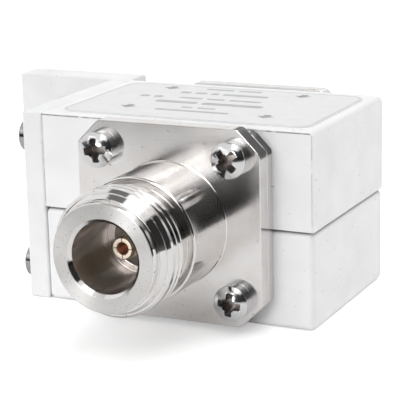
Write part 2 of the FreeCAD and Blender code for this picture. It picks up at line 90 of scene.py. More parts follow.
def grid_quads(rows, columns, wrap_rows=False, wrap_columns=True):
    """Corner numbers of all cells of a grid. A cell joins point (i, j) to (i, j + 1),
    (i + 1, j + 1) and (i + 1, j); a wrapped side joins its last line to its first."""
    i, j = np.meshgrid(
        np.arange(rows if wrap_rows else rows - 1),
        np.arange(columns if wrap_columns else columns - 1),
        indexing="ij",
    )
    up, across = (i + 1) % rows, (j + 1) % columns
    cells = [i * columns + j, i * columns + across, up * columns + across, up * columns + j]
    return np.stack(cells, axis=-1).reshape(-1, 4)


def polar(radius, angle, height):
    """Points at a radius, an angle and a height about the Z axis."""
    return np.stack([radius * np.cos(angle), radius * np.sin(angle), height + 0 * angle], axis=-1)


def fan(ring, hub, reverse=False):
    """Triangles from a hub point to each pair of neighbours on a ring of point numbers."""
    ring = np.asarray(ring)
    after = np.roll(ring, -1)
    pair = (after, ring) if reverse else (ring, after)
    return np.stack([pair[0], pair[1], np.full(len(ring), hub)], axis=-1)


def joined(parts):
    """Several (points, quads, triangles) sets as one, with the point numbers moved along."""
    points, quads, triangles, start = [], [], [], 0
    for part_points, part_quads, part_triangles in parts:
        points.append(part_points)
        quads.append(part_quads + start)
        triangles.append(part_triangles + start)
        start += len(part_points)
    return np.concatenate(points), np.concatenate(quads), np.concatenate(triangles)


def stacked(rings):
    """Rings joined into one closed surface, with a fan at both ends."""
    count, total = len(rings[0]), len(rings) * len(rings[0])
    points = np.concatenate([*rings, [rings[0].mean(axis=0), rings[-1].mean(axis=0)]])
    caps = [fan(np.arange(count), total, reverse=True),
            fan(np.arange(total - count, total), total + 1)]
    return points, grid_quads(len(rings), count), np.concatenate(caps)


def upside_checked(shape):
    """Flips a closed surface whose volume, the sum of a . (b x c) / 6 over its triangles, comes
    out negative, so that its faces point outwards."""
    points, quads, triangles = shape
    every = np.concatenate([quads[:, [0, 1, 2]], quads[:, [0, 2, 3]], triangles])
    a, b, c = points[every].transpose(1, 0, 2)
    volume = float(np.einsum("ij,ij->i", a, np.cross(b, c)).sum() / 6)
    print("volume in cubic mm:", round(abs(volume), 1), "flipped" if volume < 0 else "")
    return (points, quads[:, ::-1], triangles[:, ::-1]) if volume < 0 else shape


NO_TRIANGLES = np.zeros((0, 3), int)
print("a grid of 3 by 4 points that closes on itself has", len(grid_quads(3, 4)), "cells")

# %% Pieces
finishes = {}


def sides(node):
    """The box of a CAD node in mm, as x0, x1, y0, y1, z0, z1."""
    low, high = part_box(node)
    return [value / MM for pair in zip(low, high) for value in pair]


def even_shading(piece):
    """Lets large faces decide how the narrow ones along their edges are shaded."""
    piece.modifiers.new("even shading", "WEIGHTED_NORMAL").keep_sharp = True


def add_piece(name, shape, material, nodes=(), sharp_angle=32, even=False):
    """Makes a mesh object from (points in mm, quads, triangles), lets it ride the part's one
    body and names the CAD nodes that it stands for, which are to have the same finish."""
    points, quads, triangles = shape
    mesh = bpy.data.meshes.new(name)
    corners = np.concatenate([quads.ravel(), triangles.ravel()])
    starts = np.concatenate([4 * np.arange(len(quads)),
                             4 * len(quads) + 3 * np.arange(len(triangles))])
    mesh.vertices.add(len(points))
    mesh.vertices.foreach_set("co", (points * MM).astype(np.float32).ravel())
    mesh.loops.add(len(corners))
    mesh.loops.foreach_set("vertex_index", corners.astype(np.int32))
    mesh.polygons.add(len(starts))
    mesh.polygons.foreach_set("loop_start", starts.astype(np.int32))
    mesh.update(calc_edges=True)
    mesh.validate()
    mesh.shade_smooth()
    mesh.set_sharp_from_angle(angle=math.radians(sharp_angle))
    mesh.materials.append(material)
    piece = bpy.data.objects.new(name, mesh)
    bpy.context.scene.collection.objects.link(piece)
    if even:
        even_shading(piece)
    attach(piece, "root")
    if nodes:
        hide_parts(*nodes)
        finishes.update(dict.fromkeys(nodes, material))
    print(f"{name}: {len(points)} points, {2 * len(quads) + len(triangles)} triangles")
    return piece


# %% [markdown]
# ## Finishes
# A finish is a small graph of nodes. Numbers that hold for the whole surface go on the shader's
# own sockets; only what varies, such as grain, specks and turning marks, is worked out from the
# object's own coordinates, so that it stays put in every view.

# %% Node helpers


def linear(red, green, blue):
    """A screen colour from 0 to 255 as the linear light value that a shader takes."""
    share = np.array([red, green, blue]) / 255
    light = np.where(share <= 0.04045, share / 12.92, ((share + 0.055) / 1.055) ** 2.4)
    return (*[float(value) for value in light], 1.0)


def new_material(name, roughness, metallic=0.0, colour=(200, 200, 200)):
    """A material with its Principled shader set to plain values."""
    material = bpy.data.materials.new(name)
    material.use_nodes = True
    shader = material.node_tree.nodes["Principled BSDF"]
    shader.inputs["Base Color"].default_value = linear(*colour)
    shader.inputs["Roughness"].default_value = roughness
    shader.inputs["Metallic"].default_value = metallic
    return material, shader


def add_node(owner, kind, values=None, **settings):
    """Adds a node to the tree that the owner, a node or a socket, belongs to. Each value is a
    number, a colour or another node's socket."""
    tree = owner.id_data
    made = tree.nodes.new(kind)
    for key, value in settings.items():
        setattr(made, key, value)
    for key, value in (values or {}).items():
        if isinstance(value, bpy.types.NodeSocket):
            tree.links.new(value, made.inputs[key])
        else:
            made.inputs[key].default_value = value
    return made


def drive(node, name, value):
    """Links a socket to a node's input."""
    node.id_data.links.new(value, node.inputs[name])


def object_place(owner):
    """The surface point in the object's own coordinates, in metres."""
    return add_node(owner, "ShaderNodeTexCoord").outputs["Object"]


def noise(vector, size_mm, detail=2.0):
    """A cloudy value between 0 and 1 whose blobs are about size_mm across."""
    return add_node(vector, "ShaderNodeTexNoise", {
        "Vector": vector, "Scale": 1 / (size_mm * MM), "Detail": detail}).outputs["Fac"]


def spread(value, low, high, to_low=0.0, to_high=1.0):
    """The value stretched so that low becomes to_low and high becomes to_high, held there."""
    return add_node(value, "ShaderNodeMapRange", {
        "Value": value, "From Min": low, "From Max": high, "To Min": to_low,
        "To Max": to_high}).outputs["Result"]


def blend(share, first, second):
    """A colour between two others."""
    return add_node(share, "ShaderNodeMix", {0: share, 6: first, 7: second},
                    data_type="RGBA").outputs[2]


def math_node(operation, first, second=0.0, clamp=False):
    """One step of arithmetic on a socket and a number or another socket."""
    return add_node(first, "ShaderNodeMath", {0: first, 1: second}, operation=operation,
                    use_clamp=clamp).outputs[0]


def times(first, second):
    """The product of a socket and a number or another socket."""
    return math_node("MULTIPLY", first, second)


def vector_node(operation, first, second=(0.0, 0.0, 0.0)):
    """One step of arithmetic on vectors. A length or a distance comes out as a number."""
    made = add_node(first, "ShaderNodeVectorMath", {0: first, 1: second}, operation=operation)
    return made.outputs["Value" if operation in ("LENGTH", "DISTANCE") else "Vector"]


def split(vector):
    """The X, Y and Z of a vector, by name."""
    return add_node(vector, "ShaderNodeSeparateXYZ", {0: vector}).outputs


def darker(colour, *steps):
    """A screen colour less one step, or less a step for each channel, as linear light."""
    return linear(*(np.array(colour) - steps))


def bumped(shader, height, depth_mm, strength=1.0):
    """Tilts the surface by a height pattern that is depth_mm deep."""
    made = add_node(shader, "ShaderNodeBump", {
        "Height": height, "Distance": depth_mm * MM, "Strength": strength})
    drive(shader, "Normal", made.outputs["Normal"])


# %% [markdown]
# ### White metal
# The block and the bracket carry a thin white finish over a fine blasted grain. Close to, it has
# small dull spots where it was handled. A two-step noise gives the spots, a fine noise the grain.

# %% White finish of the block and the bracket


def near(value, place_mm, half_mm, fade_mm=0.05):
    """1 within half_mm of a place along one axis, 0 further off."""
    off = math_node("ABSOLUTE", math_node("SUBTRACT", value, place_mm * MM))
    return spread(off, (half_mm - fade_mm) * MM, half_mm * MM, 1, 0)


def edge_and_gap_shade(place, coat):
    """The coat with painted shade: the gap between the halves painted dark, and a thin broken dark
    line painted along the sharp front edges of the upper half, as their shade."""
    low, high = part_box("upper_housing")
    parts = split(place)
    front = spread(parts["Y"], low.y + 0.02 * MM, low.y + 0.12 * MM, 1, 0)
    upper = spread(parts["Z"], low.z, low.z + 0.2 * MM)
    broken = spread(noise(place, 1.1, 2.0), 0.3, 0.5, 0.2, 1.0)
    edges = (("Z", high.z / MM - 0.2, 0.11, 0.75), ("X", high.x / MM - 0.2, 0.09, 0.4),
             ("X", low.x / MM + 0.1, 0.14, 0.45))
    # Painted shade: a thin broken dark line on the front face along each sharp edge.
    for axis, edge, half_width, share in edges:
        mask = times(near(parts[axis], edge, half_width), share)
        for other in (front, upper, broken):
            mask = times(mask, other)
        coat = blend(mask, coat, linear(96, 94, 94))
    # Painted shade: the gap between the halves is painted dark.
    joint = near(parts["Z"], low.z / MM - 0.08, 0.14, 0.06)
    return blend(joint, coat, linear(92, 88, 86))


def white_finish(name, colour, with_painted_shade=False):
    """White satin coat: fine grain in the bump, a few grey specks in the colour."""
    material, shader = new_material(name, 0.42)
    place = object_place(shader)
    specks = spread(noise(place, 0.55, 1.0), 0.735, 0.77)
    clouds = spread(noise(place, 6.0, 3.0), 0.35, 0.7)
    coat = blend(clouds, linear(*colour), darker(colour, 7))
    coat = blend(specks, coat, darker(colour, 62))
    if with_painted_shade:
        coat = edge_and_gap_shade(place, coat)
    drive(shader, "Base Color", coat)
    drive(shader, "Roughness", spread(clouds, 0, 1, 0.36, 0.48))
    bumped(shader, noise(place, 0.16, 2.0), 0.012, 0.5)
    return material


block_white = white_finish("white_block_finish", (245, 245, 246), with_painted_shade=True)
bracket_white = white_finish("white_bracket_finish", (241, 241, 242))
print("nodes in the block's finish:", len(block_white.node_tree.nodes))

# %% [markdown]
# ### Plated and turned metal
# The ports are brass under a white-metal plating. Turning leaves fine rings on every round
# surface and face. The rings depend only on the distance along the port's axis and the distance
# from it, so the noise is fed with those two numbers and nothing else. Rings too fine to model
# smear a reflection along one direction, which an anisotropic shader gives once it is told which
# way they run. The flat faces are milled and duller than the barrel.

# %% Plating
PORT_LENGTH = 17.25
BORE_RADIUS = 4.4
NOSE_DEPTH = 0.04
# Radius past which the flange's upper right corner may be made dark grey and rougher.
DARK_CORNER_FROM = 15.75
FLANGE_ROUGHNESS, BARREL_ROUGHNESS, NOSE_ROUGHNESS = 0.17, 0.11, 0.28
BORE_ROUGHNESS, CORNER_ROUGHNESS = 0.2, 0.3
NOSE_COLOUR, BORE_COLOUR, CORNER_COLOUR = (213, 211, 209), (214, 207, 203), (100, 98, 98)


def port_axis(side):
    """The x and z of a port's axis in mm: the middle of its square flange."""
    low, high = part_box(f"{side}_port_body")
    return (low.x + high.x) / 2 / MM, (low.z + high.z) / 2 / MM


def outer_face(node_name):
    """How far from the part's middle a port's node reaches along Y, in metres."""
    low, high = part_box(node_name)
    return max(abs(low.y), abs(high.y))


def plated(name, side, colour, dull_corners):
    """Plated metal with turning rings about the port's axis. How smooth it is goes by place:
    a satin flange, a bright barrel and thread, a satin nose and bore. The flange's upper right
    corner may be made dark grey and rougher."""
    x, z = port_axis(side)
    tip = outer_face(f"{side}_port_body")
    material, shader = new_material(name, 0.1, 1.0)
    place = object_place(shader)
    moved = vector_node("ADD", place, (-x * MM, 0.0, -z * MM))
    flat = vector_node("MULTIPLY", moved, (1.0, 0.0, 1.0))
    radius = vector_node("LENGTH", flat)
    parts = split(moved)
    rings_at = add_node(shader, "ShaderNodeCombineXYZ", {"X": radius, "Y": parts["Y"]}).outputs[0]
    stain = spread(noise(place, 3.2, 3.0), 0.42, 0.72)
    pits = spread(noise(place, 0.42, 1.0), 0.72, 0.76)
    fine_pits = spread(noise(place, 0.2, 1.0), 0.7, 0.76)

    def past(value, edge, width_mm=0.05):
        """0 before an edge, 1 behind it."""
        return spread(value, edge - width_mm * MM, edge)

    outwards = math_node("ABSOLUTE", parts["Y"])
    nose = past(outwards, tip - NOSE_DEPTH * MM)
    flange = past(outwards, tip - (PORT_LENGTH - 0.1) * MM)
    bore = spread(radius, BORE_RADIUS * MM, (BORE_RADIUS + 0.05) * MM, 1.0, 0.0)
    above = math_node("MINIMUM", parts["X"], parts["Z"])
    corner = times(past(radius, DARK_CORNER_FROM * MM, 0.2), spread(above, 0, MM, 0, dull_corners))
    for edge in (tip / MM - PORT_LENGTH, outer_face(f"{side}_port_plate") / MM):
        corner = math_node("SUBTRACT", corner, near(outwards, edge, 0.14), clamp=True)

    smooth = spread(flange, 0, 1, FLANGE_ROUGHNESS, BARREL_ROUGHNESS)
    for mask, value in ((nose, NOSE_ROUGHNESS), (bore, BORE_ROUGHNESS), (corner, CORNER_ROUGHNESS)):
        smooth = add_node(shader, "ShaderNodeMix", {0: mask, 2: smooth, 3: value},
                          data_type="FLOAT").outputs[0]
    drive(shader, "Roughness", smooth)
    shader.inputs["Anisotropic"].default_value = 0.85
    shader.inputs["Anisotropic Rotation"].default_value = 0.25
    drive(shader, "Tangent", vector_node("CROSS_PRODUCT", flat, (0.0, 1.0, 0.0)))
    metal = blend(stain, linear(*colour), darker(colour, 6, 9, 12))
    metal = blend(pits, metal, darker(colour, 70, 78, 92))
    face = blend(stain, linear(*NOSE_COLOUR), darker(NOSE_COLOUR, 10))
    metal = blend(nose, metal, blend(fine_pits, face, linear(128, 118, 110)))
    metal = blend(bore, metal, linear(*BORE_COLOUR))
    drive(shader, "Base Color", blend(corner, metal, linear(*CORNER_COLOUR)))
    bumped(shader, noise(rings_at, 0.11, 1.0), 0.002, 0.6)
    return material


PORTS = {"equipment": plated("equipment_port_plating", "equipment", (228, 226, 225), 1.0),
         "antenna": plated("antenna_port_plating", "antenna", (236, 235, 234), 0.0)}
print("port axes in mm:", {side: [round(value, 2) for value in port_axis(side)] for side in PORTS})

# %% [markdown]
# ### Small metals, plastics and the label
# Screws are bright and nearly mirror-smooth, but dull down in the recess, which is also painted
# darker and brown as its shade. The contact is gold over brass, redder inside its hole, where
# light meets the wall more than once. The bead is a white fluoropolymer, the label a satin film.

# %% Screws, contact, bead and label


def simple_metal(name, colour, roughness, grain_mm=0.3, depth_mm=0.003):
    """A metal whose roughness wanders a little and whose skin has faint scratches."""
    material, shader = new_material(name, roughness, 1.0, colour)
    place = object_place(shader)
    wander = noise(place, grain_mm * 5, 2.0)
    drive(shader, "Roughness", spread(wander, 0.3, 0.7, roughness * 0.7, roughness * 1.4))
    bumped(shader, noise(place, grain_mm, 3.0), depth_mm, 0.5)
    return material


def dull_solid(name, colour, roughness, grain_mm=0.4, shade=12):
    """A plastic or ceramic with a faint cloud in its colour and a fine grain."""
    material, shader = new_material(name, roughness)
    place = object_place(shader)
    clouds = spread(noise(place, grain_mm * 8, 2.0), 0.3, 0.7)
    drive(shader, "Base Color", blend(clouds, linear(*colour), darker(colour, shade)))
    bumped(shader, noise(place, grain_mm, 2.0), 0.006, 0.5)
    return material


def screw_plating(name, level):
    """Bright plating, dull down in the recess and painted darker and brown there as its shade."""
    material, shader = new_material(name, 0.15, 1.0)
    recess = add_node(shader, "ShaderNodeAttribute", attribute_name="recess").outputs["Fac"]
    # Painted shade: the colour turns darker and browner down in the recess.
    recess_shade = spread(recess, 0.12, 0.5)
    drive(shader, "Base Color", blend(recess_shade, linear(level, level, level + 1), linear(160, 153, 149)))
    drive(shader, "Roughness", spread(recess_shade, 0, 1, 0.15, 0.4))
    bumped(shader, noise(object_place(shader), 0.3, 3.0), 0.003, 0.5)
    return material


HOLE_WALL = 0.74
HOLE_GOLD, OUTER_GOLD = (250, 214, 194), (247, 234, 214)


def contact_plating(side):
    """Pale gold, redder on the walls of the contact's hole."""
    x, z = port_axis(side)
    material, shader = new_material(f"{side}_contact_gold", 0.38, 1.0)
    place = object_place(shader)
    flat = vector_node("MULTIPLY", place, (1.0, 0.0, 1.0))
    radius = vector_node("DISTANCE", flat, (x * MM, 0.0, z * MM))
    outside = spread(radius, HOLE_WALL * MM, (HOLE_WALL + 0.03) * MM)
    drive(shader, "Base Color", blend(outside, linear(*HOLE_GOLD), linear(*OUTER_GOLD)))
    bumped(shader, noise(place, 0.15, 3.0), 0.002, 0.5)
    return material


bright_steel = screw_plating("bright_screw_plating", 214)
worn_steel = screw_plating("worn_screw_plating", 168)
gold = {side: contact_plating(side) for side in PORTS}
bead_white = dull_solid("white_bead", (226, 224, 218), 0.45, 0.3, 8)
label_film = dull_solid("label_film", (229, 229, 230), 0.38, 0.25, 5)
bar_grey = dull_solid("label_bars", (190, 190, 192), 0.5, 0.2, 14)
print_grey = dull_solid("label_arrows", (162, 162, 164), 0.5, 0.2, 14)
# Painted shade: the grey of a thin line just inside the label film's edge.
edge_shade_grey = dull_solid("label_edge_shade", (200, 200, 202), 0.5, 0.2, 8)
print("finishes so far:", len(bpy.data.materials))

# %% [markdown]
# ## Turned surfaces with a square flange
# A turned part is one profile, a chain of (radius, height) corners, carried round the axis. The
# flange is the exception: its edge is an octagon. It can still ride on the same grid if the
# points of its edge take their distance from the axis from the octagon at each angle. Real edges
# are never knife-sharp, so each corner of the profile gives way to a short curve.

# %% Profile and outline functions


def softened(corners, cut, steps=4):
    """A closed chain of corners, each replaced by a short parabola. It starts and ends a
    distance cut before and after the corner: (1-s)^2 A + 2s(1-s) P + s^2 B. A further point
    on both sides keeps the shading of the flats clean."""
    corners = np.asarray(corners, float)
    cut = np.broadcast_to(np.asarray(cut, float), len(corners))
    before = np.roll(corners, 1, 0)[:, :2] - corners[:, :2]
    after = np.roll(corners, -1, 0)[:, :2] - corners[:, :2]
    before_length = np.linalg.norm(before, axis=1)
    after_length = np.linalg.norm(after, axis=1)
    reach = np.minimum(cut, 0.3 * np.minimum(before_length, after_length))[:, None]
    before = before / before_length[:, None] * reach
    after = after / after_length[:, None] * reach
    s = np.linspace(0, 1, steps + 1)[None, :, None]
    point = corners[:, None, :2]
    start, end = point + before[:, None], point + after[:, None]
    curve = (1 - s) ** 2 * start + 2 * s * (1 - s) * point + s ** 2 * end
    curve = np.concatenate([point + 1.5 * before[:, None], curve, point + 1.5 * after[:, None]], 1)
    flag = np.repeat(corners[:, None, 2:], curve.shape[1], axis=1)
    return np.concatenate([curve, flag], axis=2).reshape(-1, corners.shape[1])


FLANGE_HALF = 12.7
FLANGE_CHAMFER = 3.0


def octagon(angle, inset, top_half=FLANGE_HALF):
    """Distance from the axis to a square with cut corners, moved inwards by inset. It is the
    nearest of the eight sides along each direction, taken as a soft minimum."""
    side = (FLANGE_HALF - inset) / np.maximum(np.abs(np.cos(angle)), 1e-6)
    upright = np.where(np.sin(angle) > 0, top_half, FLANGE_HALF) - inset
    level = upright / np.maximum(np.abs(np.sin(angle)), 1e-6)
    cut = (2 * FLANGE_HALF - FLANGE_CHAMFER) / math.sqrt(2) - inset
    slanted = cut * math.sqrt(2) / (np.abs(np.cos(angle)) + np.abs(np.sin(angle)))
    power = 160.0
    total = side ** -power + level ** -power + slanted ** -power
    return total ** (-1 / power)


corner_angle = math.atan2(FLANGE_HALF - FLANGE_CHAMFER, FLANGE_HALF)
octagon_corners = np.concatenate([
    quarter * math.pi / 2 + np.array([corner_angle, math.pi / 2 - corner_angle])
    for quarter in range(4)
])
near_corners = (octagon_corners[:, None] + np.radians([-0.9, -0.45, 0, 0.45, 0.9])).ravel()
even_angles = np.linspace(0, 2 * math.pi, 168, endpoint=False)
distance = np.abs((even_angles[:, None] - octagon_corners + math.pi) % (2 * math.pi) - math.pi)
even_angles = even_angles[distance.min(axis=1) > math.radians(1.3)]
ANGLES = np.sort(np.concatenate([even_angles, near_corners]))
print("columns round a port:", len(ANGLES))


def soft_minimum(first, second, rounding=0.022):
    """The lesser of two lengths with the crossing rounded: -r log(exp(-a/r) + exp(-b/r))."""
    return -rounding * np.logaddexp(-first / rounding, -second / rounding)


def turned(profile, angles=ANGLES, limit=None, outline=octagon):
    """Carries a profile of (radius, height, flag) round the Z axis. Where the flag is 1 the
    radius is an inset from the outline; limit(angle, height) may cut the radius further."""
    radius, height, flag = (column[:, None] for column in np.asarray(profile, float).T)
    angle = np.broadcast_to(angles[None, :], (len(profile), len(angles)))
    far = np.where(flag > 0.5, outline(angle, radius * flag), radius)
    if limit is not None:
        far = np.where(flag > 0.5, far, soft_minimum(far, limit(angle, height, radius)))
    quads = grid_quads(len(profile), len(angles), wrap_rows=True)
    return polar(far, angle, height).reshape(-1, 3), quads, NO_TRIANGLES


# %% [markdown]
# ## Port bodies
# From the flange outwards come the barrel, a relief groove, the 5/8 inch thread of 24 turns an
# inch, a tapered lead, a short nose, and the ring face round the bore. The thread is a real
# right-handed helix: where a point lies across the groove depends on its height less the share
# of a pitch that its angle has gone round. The groove runs out into the lead.

# %% Thread and port profile
FLANGE_THICKNESS = 2.2
PLATE_THICKNESS = 1.6
THREAD_RADIUS = 7.9375
THREAD_PITCH = 25.4 / 24
THREAD_ROOT = 7.42
THREAD_START = 11.4
GROOVE_AT = 13.727 - math.radians(27) / (2 * math.pi) * THREAD_PITCH
FLANK_SLOPE = 1.733
ROOT_ROUNDING = 0.04
THREAD_END = 14.66
LEAD_STEP = 15.19
THREAD_BEGINS = math.radians(-130)
RUN_IN_AFTER, RUN_IN, RUN_IN_RISE = math.radians(332), math.radians(28), 0.6
NO_LIMIT = 99.0
SEAT_RADIUS = 4.3


def thread_limit(angle, height, radius):
    """Greatest radius that the thread leaves: a V with a rounded root, whose walls rise
    sqrt(x^2 + rounding^2) times their slope with the distance x from the groove's middle. The
    foremost turn begins underneath and deepens over 28 degrees."""
    turn = (angle - THREAD_BEGINS) % (2 * math.pi) + THREAD_BEGINS
    lift = height - GROOVE_AT - turn / (2 * math.pi) * THREAD_PITCH
    half = THREAD_PITCH / 2
    across = np.where(lift > half, half, (lift + half) % THREAD_PITCH - half)
    wall = FLANK_SLOPE * (np.sqrt(across ** 2 + ROOT_ROUNDING ** 2) - ROOT_ROUNDING)
    beginning = np.clip((turn - THREAD_BEGINS - RUN_IN_AFTER) / RUN_IN, 0, 1)
    wall = wall + np.where(lift > -half, RUN_IN_RISE * beginning, 0)
    inside = (height > THREAD_START - 0.2) & (height < THREAD_END) & (radius > 7.2)
    return np.where(inside, THREAD_ROOT + wall, NO_LIMIT)


PORT_CORNERS = [
    (FLANGE_HALF, -FLANGE_THICKNESS, 1, 0.1), (FLANGE_HALF, 0, 1, 0.08),
    (8.025, 0, 0, 0.14), (8.025, 8.95, 0, 0.22),
    (7.05, 8.95, 0, 0.1), (7.05, 11.4, 0, 0.1),
    (7.59, 11.4, 0, 0.04), (7.9375, 11.75, 0, 0.04),
    (7.9375, THREAD_END, 0, 0.05), (7.57, LEAD_STEP, 0, 0.02),
    (7.43, LEAD_STEP, 0, 0.02), (7.03, 16.05, 0, 0.02), (6.8, 16.05, 0, 0.1),
    (6.8, 17.08, 0, 0.03), (6.63, PORT_LENGTH, 0, 0.04),
    (4.9, PORT_LENGTH, 0, 0.05), (BORE_RADIUS, PORT_LENGTH - 0.5, 0, 0.08),
    (BORE_RADIUS, 7.8, 0, 0.08), (3.5, 7.8, 0, 0.12),
    (3.5, 2.0, 0, 0.05), (SEAT_RADIUS, 2.0, 0, 0.05),
    (SEAT_RADIUS, -FLANGE_THICKNESS, 0, 0.1),
]


def flanged(corners, cut):
    """Softens a chain that holds the flange's two edge corners. Their half width becomes an
    inset from the flange's outline."""
    soft = softened(corners, cut)
    soft[:, 0] = np.where(soft[:, 2] > 0.5, FLANGE_HALF - soft[:, 0], soft[:, 0])
    return soft


def port_profile():
    """The port's closed profile, with dense rows put into the thread."""
    corners = np.array(PORT_CORNERS, float)
    soft = flanged(corners[:, :3], corners[:, 3])
    is_land = (np.abs(soft[:, 0] - THREAD_RADIUS) < 1e-6) & (soft[:, 1] < 13)
    after = int(np.nonzero(is_land)[0].max()) + 1
    onwards = after + int(np.nonzero(soft[after:, 1] > THREAD_END + 0.1)[0][0])
    heights = np.arange(soft[after - 1, 1] + 0.03, THREAD_END + 0.1, 0.035)
    lead = np.interp(heights, soft[after - 1:onwards, 1], soft[after - 1:onwards, 0])
    rows = np.stack([lead, heights, 0 * heights], axis=1)
    return np.concatenate([soft[:after], rows, soft[onwards:]])


PORT_PROFILE = port_profile()
print("rows along the port:", len(PORT_PROFILE))

# %% [markdown]
# A port is worked out once, in its own frame with +Z outwards and +Y up, and then stood at the
# front or the back of the block. The flange's middle and the ring face of the CAD body say where.

# %% Standing a shape at a port


def at_port(shape, side):
    """Turns a shape from the port's frame to the part's: the front port looks along -Y, the
    back port along +Y."""
    points, quads, triangles = shape
    _, _, y0, y1, _, _ = sides(f"{side}_port_body")
    x, z = port_axis(side)
    way, tip = (-1, y0) if side == "equipment" else (1, y1)
    placed = [x - way * points[:, 0], tip - way * PORT_LENGTH + way * points[:, 2], z + points[:, 1]]
    return np.stack(placed, axis=1), quads, triangles


body_shape = turned(PORT_PROFILE, limit=thread_limit)
for side, plating in PORTS.items():
    add_piece(f"{side}_port_turned_body", at_port(body_shape, side), plating,
              [f"{side}_port_body"], sharp_angle=40)

# %% [markdown]
# ## Plates, beads and contacts
# The plate behind each flange has the same octagon with a lower top edge. The bead fills the
# seat behind the flange. The contact is a tube with its end slit into four fingers: each finger
# is a closed sector, so the slits are real gaps.

# %% Plates and beads
PLATE_TOP = FLANGE_HALF - 0.8
PLATE_BACK = -FLANGE_THICKNESS - PLATE_THICKNESS
BEAD_RADIUS = 4.25
BEAD_BACK = -7.8
BEAD_FRONT = 2.0
STEM_RADIUS = 1.1
SMALL_ANGLES = np.linspace(0, 2 * math.pi, 96, endpoint=False)

plate_profile = flanged([(FLANGE_HALF, PLATE_BACK, 1), (FLANGE_HALF, -FLANGE_THICKNESS, 1),
                         (SEAT_RADIUS, -FLANGE_THICKNESS, 0), (SEAT_RADIUS, PLATE_BACK, 0)], 0.1)
plate_shape = turned(plate_profile, outline=lambda angle, inset: octagon(angle, inset, PLATE_TOP))
BEAD_HOLE = STEM_RADIUS + 0.02
bead_profile = softened([(BEAD_RADIUS, BEAD_BACK, 0), (BEAD_RADIUS, BEAD_FRONT, 0),
                         (BEAD_HOLE, BEAD_FRONT, 0), (BEAD_HOLE, BEAD_BACK, 0)], 0.1)
for side, plating in PORTS.items():
    add_piece(f"{side}_port_backing_plate", at_port(plate_shape, side), plating,
              [f"{side}_port_plate"], sharp_angle=40)
    add_piece(f"{side}_port_bead", at_port(turned(bead_profile, SMALL_ANGLES), side),
              bead_white, [f"{side}_port_insulator"])

# %% Slit contacts
CONTACT_RADIUS = 1.52
CONTACT_TIP = 12.4
CONTACT_HOLE = 0.72
CONTACT_HOLE_FLOOR = CONTACT_TIP - 5.6
FINGER_ROOT = CONTACT_TIP - 4.4
SLIT_HALF = 0.055
CONTACT_END = -15.2


def finger(quarter):
    """One of four fingers: the tube's section carried through just under a quarter turn. The
    slit has parallel walls, so its half angle at each radius is asin(half slit / radius)."""
    section = softened([(CONTACT_RADIUS, FINGER_ROOT, 0), (CONTACT_RADIUS, CONTACT_TIP - 0.5, 0),
                        (1.28, CONTACT_TIP, 0), (CONTACT_HOLE + 0.12, CONTACT_TIP, 0),
                        (CONTACT_HOLE, CONTACT_TIP - 0.2, 0), (CONTACT_HOLE, FINGER_ROOT, 0)], 0.06)
    share = np.linspace(0, 1, 17)[None, :]
    radius = section[:, :1]
    slit = np.arcsin(SLIT_HALF / radius)
    angle = quarter * math.pi / 2 + slit + share * (math.pi / 2 - 2 * slit)
    rows, columns = angle.shape
    points = polar(radius, angle, section[:, 1:2]).reshape(-1, 3)
    first = np.arange(rows) * columns
    last = first + columns - 1
    hubs = [points[first].mean(axis=0), points[last].mean(axis=0)]
    # The two end caps do not face the same way, as one of them is inside-out.
    caps = [fan(first, len(points), reverse=True)[:, [1, 2, 0]],
            fan(last, len(points) + 1)[:, [1, 0, 2]]]
    return (np.concatenate([points, hubs]),
            grid_quads(rows, columns, wrap_rows=True, wrap_columns=False), np.concatenate(caps))


contact_core = np.array([
    (0.001, CONTACT_END, 0), (STEM_RADIUS - 0.1, CONTACT_END, 0), (STEM_RADIUS, CONTACT_END + 0.1, 0),
    (STEM_RADIUS, BEAD_FRONT, 0), (CONTACT_RADIUS - 0.06, BEAD_FRONT, 0),
    (CONTACT_RADIUS, BEAD_FRONT + 0.06, 0), (CONTACT_RADIUS, FINGER_ROOT + 0.05, 0),
    (CONTACT_HOLE, FINGER_ROOT + 0.05, 0), (CONTACT_HOLE, CONTACT_HOLE_FLOOR, 0),
    (0.001, CONTACT_HOLE_FLOOR - 0.3, 0),
], float)
core_rings = turned(contact_core, SMALL_ANGLES)[0].reshape(len(contact_core), -1, 3)
contact_shape = joined([upside_checked(stacked(core_rings)), *map(finger, range(4))])
for side in PORTS:
    add_piece(f"{side}_port_slit_contact", at_port(contact_shape, side), gold[side],
              [f"{side}_port_contact"])

# %% [markdown]
# ## Screws
# The heads are seen close to, with a domed top and a cross recess. The recess could be cut with
# a Boolean, but its walls are soft after plating, so a height field suits it better: a fine grid
# over the dome whose height drops inside two crossed wings and a small square where they meet.

# %% Dome and recess
HEAD_RADIUS = 2.3
HEAD_SIDE = 1.7
HEAD_TOP = 2.5
SHANK_RADIUS = 1.42
SHOULDER = 2.02
FIELD_HALF = 1.62
FIELD_LINES = 49
WING_REACH = 1.56
WING_HALF = 0.48
MIDDLE_HALF = 0.74
FLOOR_FALL, FLANK_FALL, MIDDLE_FALL = 4.0, 12.0, 5.0
RECESS_DEPTH = 1.7

field_line = np.linspace(-FIELD_HALF, FIELD_HALF, FIELD_LINES)
FIELD_A, FIELD_B = np.meshgrid(field_line, field_line, indexing="ij")


def dome_height(radius):
    """Height of the dome: a sphere through the head's edge and its top."""
    rise = HEAD_TOP - HEAD_SIDE
    sphere = (HEAD_RADIUS ** 2 + rise ** 2) / (2 * rise)
    return HEAD_TOP - sphere + np.sqrt(sphere ** 2 - radius ** 2)


